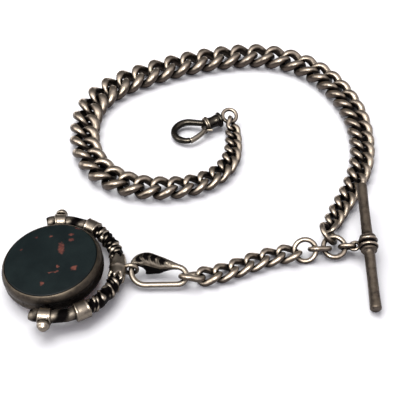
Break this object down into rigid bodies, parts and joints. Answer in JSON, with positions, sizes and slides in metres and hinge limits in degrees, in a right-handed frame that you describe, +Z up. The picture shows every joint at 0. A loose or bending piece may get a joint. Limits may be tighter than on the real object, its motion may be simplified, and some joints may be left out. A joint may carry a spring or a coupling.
{
  "type": "pocket watch chain",
  "caption": "Pocket watch chain: graduated curb links from a swivelling dog clip to a T-bar, with a short drop of links to a pear loop and a swivelling round fob with a flat green stone.",
  "frame": {"origin": "middle of the bounding box, on the surface that the chain lies on", "axes": "+Z up from the surface; +X from the fob towards the T-bar; +Y away from the fob, along the longest side of the laid-out chain"},
  "size_m": [0.0951, 0.11, 0.0078],
  "materials": {
    "chain_silver": "worn silver, dark with age in the recesses and polished on the high spots",
    "bar_silver": "worn silver, satin, with fine scratches",
    "clip_silver": "worn silver, polished, with dark tarnish at the joints",
    "clip_steel": "plain dull steel",
    "engraved_silver": "engraved silver, tarnished in the cuts",
    "bail_silver": "cast silver in relief, deep tarnish in the hollows",
    "pin_gilt": "worn gilt metal, satin",
    "bezel_gilt": "aged gilt metal, satin, dark at the stone",
    "bloodstone": "flat polished dark green bloodstone with red flecks",
    "carnelian": "flat polished orange-red carnelian"
  },
  "bodies": {
    "junction": {"junction_ring": "chain_silver"},
    "main_end_ring": {"main_end_ring": "chain_silver"},
    "main_links_01": {"main_links_01": "chain_silver"},
    "main_links_02": {"main_links_02": "chain_silver"},
    "main_links_03": {"main_links_03": "chain_silver"},
    "main_links_04": {"main_links_04": "chain_silver"},
    "main_links_05": {"main_links_05": "chain_silver"},
    "main_links_06": {"main_links_06": "chain_silver"},
    "main_links_07": {"main_links_07": "chain_silver"},
    "main_links_08": {"main_links_08": "chain_silver"},
    "main_links_09": {"main_links_09": "chain_silver"},
    "main_links_10": {"main_links_10": "chain_silver"},
    "main_links_11": {"main_links_11": "chain_silver"},
    "main_links_12": {"main_links_12": "chain_silver"},
    "main_links_13": {"main_links_13": "chain_silver"},
    "main_links_14": {"main_links_14": "chain_silver"},
    "main_links_15": {"main_links_15": "chain_silver"},
    "main_links_16": {"main_links_16": "chain_silver"},
    "main_links_17": {"main_links_17": "chain_silver"},
    "main_links_18": {"main_links_18": "chain_silver"},
    "main_links_19": {"main_links_19": "chain_silver"},
    "main_links_20": {"main_links_20": "chain_silver"},
    "main_links_21": {"main_links_21": "chain_silver"},
    "main_links_22": {"main_links_22": "chain_silver"},
    "main_links_23": {"main_links_23": "chain_silver"},
    "main_links_24": {"main_links_24": "chain_silver"},
    "main_links_25": {"main_links_25": "chain_silver"},
    "main_links_26": {"main_links_26": "chain_silver"},
    "clip_swivel_eye": {"clip_swivel_eye": "clip_silver"},
    "dog_clip": {"clip_barrel": "clip_silver", "clip_hook": "clip_silver", "clip_collar": "clip_silver", "gate_pin": "clip_steel", "gate_spring": "clip_steel"},
    "clip_gate": {"clip_gate": "clip_silver"},
    "t_bar_link": {"t_bar_link": "chain_silver"},
    "t_bar_collar": {"t_bar_collar": "bar_silver"},
    "t_bar": {"t_bar": "bar_silver"},
    "junction_link": {"junction_link": "chain_silver"},
    "drop_ring": {"drop_ring": "chain_silver"},
    "drop_link_1": {"drop_link_1": "chain_silver"},
    "drop_link_2": {"drop_link_2": "chain_silver"},
    "drop_link_3": {"drop_link_3": "chain_silver"},
    "drop_link_4": {"drop_link_4": "chain_silver"},
    "drop_link_5": {"drop_link_5": "chain_silver"},
    "drop_link_6": {"drop_link_6": "chain_silver"},
    "drop_link_7": {"drop_link_7": "chain_silver"},
    "pear_loop": {"pear_loop": "engraved_silver"},
    "fob_frame": {"fob_bail": "bail_silver", "upper_pivot_pin": "pin_gilt", "lower_pivot_pin": "pin_gilt"},
    "fob_disc": {"fob_bezel": "bezel_gilt", "bloodstone": "bloodstone", "carnelian": "carnelian"}
  },
  "joints": [
    {"name": "main_end_ring_swing", "type": "hinge", "parent": "junction", "child": "main_end_ring", "pos_m": [0.03142, -0.02696, 0.00281], "axis": [0, 0, 1], "range_deg": [-1, 12]},
    {"name": "main_joint_01_lift", "type": "hinge", "parent": "main_end_ring", "child": "main_links_01", "pos_m": [0.03156, -0.02338, 0.00215], "axis": [-0.9422, 0.335, 0], "range_deg": [-9, 18]},
    {"name": "main_joint_02_lift", "type": "hinge", "parent": "main_links_01", "child": "main_links_02", "pos_m": [0.03421, -0.01716, 0.00164], "axis": [0.8766, -0.4811, 0], "range_deg": [-18, 13]},
    {"name": "main_joint_03_lift", "type": "hinge", "parent": "main_links_02", "child": "main_links_03", "pos_m": [0.03783, -0.01082, 0.00176], "axis": [0.8915, -0.4531, 0], "range_deg": [-18, 18]},
    {"name": "main_joint_04_turn", "type": "hinge", "parent": "main_links_03", "child": "main_links_04", "pos_m": [0.04123, -0.00378, 0.00188], "axis": [0, 0, 1], "range_deg": [-12, 12]},
    {"name": "main_joint_05_lift", "type": "hinge", "parent": "main_links_04", "child": "main_links_05", "pos_m": [0.04371, 0.00416, 0.002], "axis": [-0.9883, 0.1526, 0], "range_deg": [-18, 18]},
    {"name": "main_joint_06_turn", "type": "hinge", "parent": "main_links_05", "child": "main_links_06", "pos_m": [0.04468, 0.01281, 0.00207], "axis": [0, 0, -1], "range_deg": [-12, 12]},
    {"name": "main_joint_07_lift", "type": "hinge", "parent": "main_links_06", "child": "main_links_07", "pos_m": [0.04425, 0.02183, 0.00215], "axis": [0.9799, 0.1994, 0], "range_deg": [-18, 18]},
    {"name": "main_joint_08_turn", "type": "hinge", "parent": "main_links_07", "child": "main_links_08", "pos_m": [0.04188, 0.03091, 0.00224], "axis": [0, 0, 1], "range_deg": [-12, 11]},
    {"name": "main_joint_09_lift", "type": "hinge", "parent": "main_links_08", "child": "main_links_09", "pos_m": [0.03762, 0.03971, 0.00233], "axis": [-0.7902, -0.6129, 0], "range_deg": [-18, 18]},
    {"name": "main_joint_10_turn", "type": "hinge", "parent": "main_links_09", "child": "main_links_10", "pos_m": [0.03067, 0.04705, 0.00241], "axis": [0, 0, -1], "range_deg": [-5, 12]},
    {"name": "main_joint_11_lift", "type": "hinge", "parent": "main_links_10", "child": "main_links_11", "pos_m": [0.02109, 0.05118, 0.00248], "axis": [0.096, 0.9954, 0], "range_deg": [-18, 18]},
    {"name": "main_joint_12_turn", "type": "hinge", "parent": "main_links_11", "child": "main_links_12", "pos_m": [0.01042, 0.05119, 0.00252], "axis": [0, 0, 1], "range_deg": [-12, 11]},
    {"name": "main_joint_13_lift", "type": "hinge", "parent": "main_links_12", "child": "main_links_13", "pos_m": [-0.00004, 0.04888, 0.00252], "axis": [0.3168, -0.9485, 0], "range_deg": [-18, 18]},
    {"name": "main_joint_14_turn", "type": "hinge", "parent": "main_links_13", "child": "main_links_14", "pos_m": [-0.01008, 0.04515, 0.00252], "axis": [0, 0, -1], "range_deg": [-11, 12]},
    {"name": "main_joint_15_lift", "type": "hinge", "parent": "main_links_14", "child": "main_links_15", "pos_m": [-0.01958, 0.04017, 0.00252], "axis": [-0.5498, 0.8353, 0], "range_deg": [-18, 18]},
    {"name": "main_joint_16_turn", "type": "hinge", "parent": "main_links_15", "child": "main_links_16", "pos_m": [-0.02797, 0.03357, 0.00252], "axis": [0, 0, 1], "range_deg": [-12, 3]},
    {"name": "main_joint_17_lift", "type": "hinge", "parent": "main_links_16", "child": "main_links_17", "pos_m": [-0.03284, 0.02421, 0.00249], "axis": [0.9949, -0.1011, 0], "range_deg": [-18, 13]},
    {"name": "main_joint_18_turn", "type": "hinge", "parent": "main_links_17", "child": "main_links_18", "pos_m": [-0.03331, 0.01388, 0.00242], "axis": [0, 0, -1], "range_deg": [-9, 12]},
    {"name": "main_joint_19_lift", "type": "hinge", "parent": "main_links_18", "child": "main_links_19", "pos_m": [-0.031, 0.00411, 0.00236], "axis": [-0.8725, -0.4886, 0], "range_deg": [-18, 18]},
    {"name": "main_joint_20_turn", "type": "hinge", "parent": "main_links_19", "child": "main_links_20", "pos_m": [-0.02523, -0.00366, 0.00227], "axis": [0, 0, 1], "range_deg": [-12, 1]},
    {"name": "main_joint_21_lift", "type": "hinge", "parent": "main_links_20", "child": "main_links_21", "pos_m": [-0.01682, -0.00755, 0.00217], "axis": [0.0956, 0.9954, 0], "range_deg": [-18, 18]},
    {"name": "main_joint_22_turn", "type": "hinge", "parent": "main_links_21", "child": "main_links_22", "pos_m": [-0.00794, -0.00785, 0.00207], "axis": [0, 0, -1], "range_deg": [-9, 12]},
    {"name": "main_joint_23_lift", "type": "hinge", "parent": "main_links_22", "child": "main_links_23", "pos_m": [0.0001, -0.00543, 0.00196], "axis": [0.5673, -0.8235, 0], "range_deg": [-18, 18]},
    {"name": "main_joint_24_turn", "type": "hinge", "parent": "main_links_23", "child": "main_links_24", "pos_m": [0.0059, -0.00017, 0.00184], "axis": [0, 0, 1], "range_deg": [-12, 5]},
    {"name": "main_joint_25_lift", "type": "hinge", "parent": "main_links_24", "child": "main_links_25", "pos_m": [0.00835, 0.00674, 0.00171], "axis": [-0.9967, 0.0815, 0], "range_deg": [-18, 18]},
    {"name": "main_joint_26_turn", "type": "hinge", "parent": "main_links_25", "child": "main_links_26", "pos_m": [0.00871, 0.01356, 0.00159], "axis": [0, 0, -1], "range_deg": [-12, 12]},
    {"name": "clip_eye_swing", "type": "hinge", "parent": "main_links_26", "child": "clip_swivel_eye", "pos_m": [0.00828, 0.01984, 0.00251], "axis": [-0.9085, -0.4045, -0.1045], "range_deg": [-1, 13]},
    {"name": "clip_swivel", "type": "hinge", "parent": "clip_swivel_eye", "child": "dog_clip", "pos_m": [0.00779, 0.02094, 0.00307], "axis": [-0.9085, -0.4045, -0.1045], "continuous": true},
    {"name": "gate_hinge", "type": "hinge", "parent": "dog_clip", "child": "clip_gate", "pos_m": [0.00079, 0.01563, 0.00217], "axis": [0.0955, 0.0425, -0.9945], "range_deg": [0, 25], "stiffness_Nm_per_rad": 0.0004, "springref_deg": -5.73},
    {"name": "t_bar_link_swing", "type": "hinge", "parent": "junction", "child": "t_bar_link", "pos_m": [0.03415, -0.0286, 0.0021], "axis": [0, 0, 1], "range_deg": [-13, 13]},
    {"name": "t_bar_collar_swing", "type": "hinge", "parent": "t_bar_link", "child": "t_bar_collar", "pos_m": [0.03653, -0.02873, 0.0024], "axis": [0, 1, 0], "range_deg": [-3, 20]},
    {"name": "t_bar_spin", "type": "hinge", "parent": "t_bar_collar", "child": "t_bar", "pos_m": [0.04025, -0.0291, 0.0037], "axis": [0.0313, 0.9909, 0.131], "continuous": true},
    {"name": "junction_link_swing", "type": "hinge", "parent": "junction", "child": "junction_link", "pos_m": [0.03032, -0.02909, 0.00188], "axis": [0, 1, 0], "range_deg": [-13, 13]},
    {"name": "drop_ring_swing", "type": "hinge", "parent": "junction_link", "child": "drop_ring", "pos_m": [0.02684, -0.0298, 0.0026], "axis": [0, 0, 1], "range_deg": [-10, 10]},
    {"name": "drop_joint_1_lift", "type": "hinge", "parent": "drop_ring", "child": "drop_link_1", "pos_m": [0.02306, -0.03047, 0.00193], "axis": [0.0508, -0.9987, 0], "range_deg": [-18, 18]},
    {"name": "drop_joint_2_turn", "type": "hinge", "parent": "drop_link_1", "child": "drop_link_2", "pos_m": [0.01892, -0.03068, 0.00153], "axis": [0, 0, -1], "range_deg": [-5, 12]},
    {"name": "drop_joint_3_lift", "type": "hinge", "parent": "drop_link_2", "child": "drop_link_3", "pos_m": [0.01494, -0.03186, 0.00153], "axis": [-0.393, 0.9196, 0], "range_deg": [-18, 18]},
    {"name": "drop_joint_4_turn", "type": "hinge", "parent": "drop_link_3", "child": "drop_link_4", "pos_m": [0.01112, -0.03349, 0.00153], "axis": [0, 0, 1], "range_deg": [-12, 12]},
    {"name": "drop_joint_5_lift", "type": "hinge", "parent": "drop_link_4", "child": "drop_link_5", "pos_m": [0.00735, -0.03523, 0.00153], "axis": [0.3863, -0.9224, 0], "range_deg": [-18, 18]},
    {"name": "drop_joint_6_turn", "type": "hinge", "parent": "drop_link_5", "child": "drop_link_6", "pos_m": [0.00352, -0.03683, 0.00153], "axis": [0, 0, -1], "range_deg": [-12, 9]},
    {"name": "drop_joint_7_lift", "type": "hinge", "parent": "drop_link_6", "child": "drop_link_7", "pos_m": [-0.00054, -0.03768, 0.00153], "axis": [-0.1069, 0.9943, 0], "range_deg": [-18, 18]},
    {"name": "pear_loop_swing", "type": "hinge", "parent": "drop_link_7", "child": "pear_loop", "pos_m": [-0.00466, -0.03812, 0.00223], "axis": [-0.1392, -0.9903, 0], "range_deg": [-13, 13]},
    {"name": "fob_swing", "type": "hinge", "parent": "pear_loop", "child": "fob_frame", "pos_m": [-0.01625, -0.03649, 0.00295], "axis": [0, 1, 0], "range_deg": [-11, 9]},
    {"name": "fob_spin", "type": "hinge", "parent": "fob_frame", "child": "fob_disc", "pos_m": [-0.03542, -0.03649, 0.00395], "axis": [0, 1, 0], "continuous": true}
  ]
}
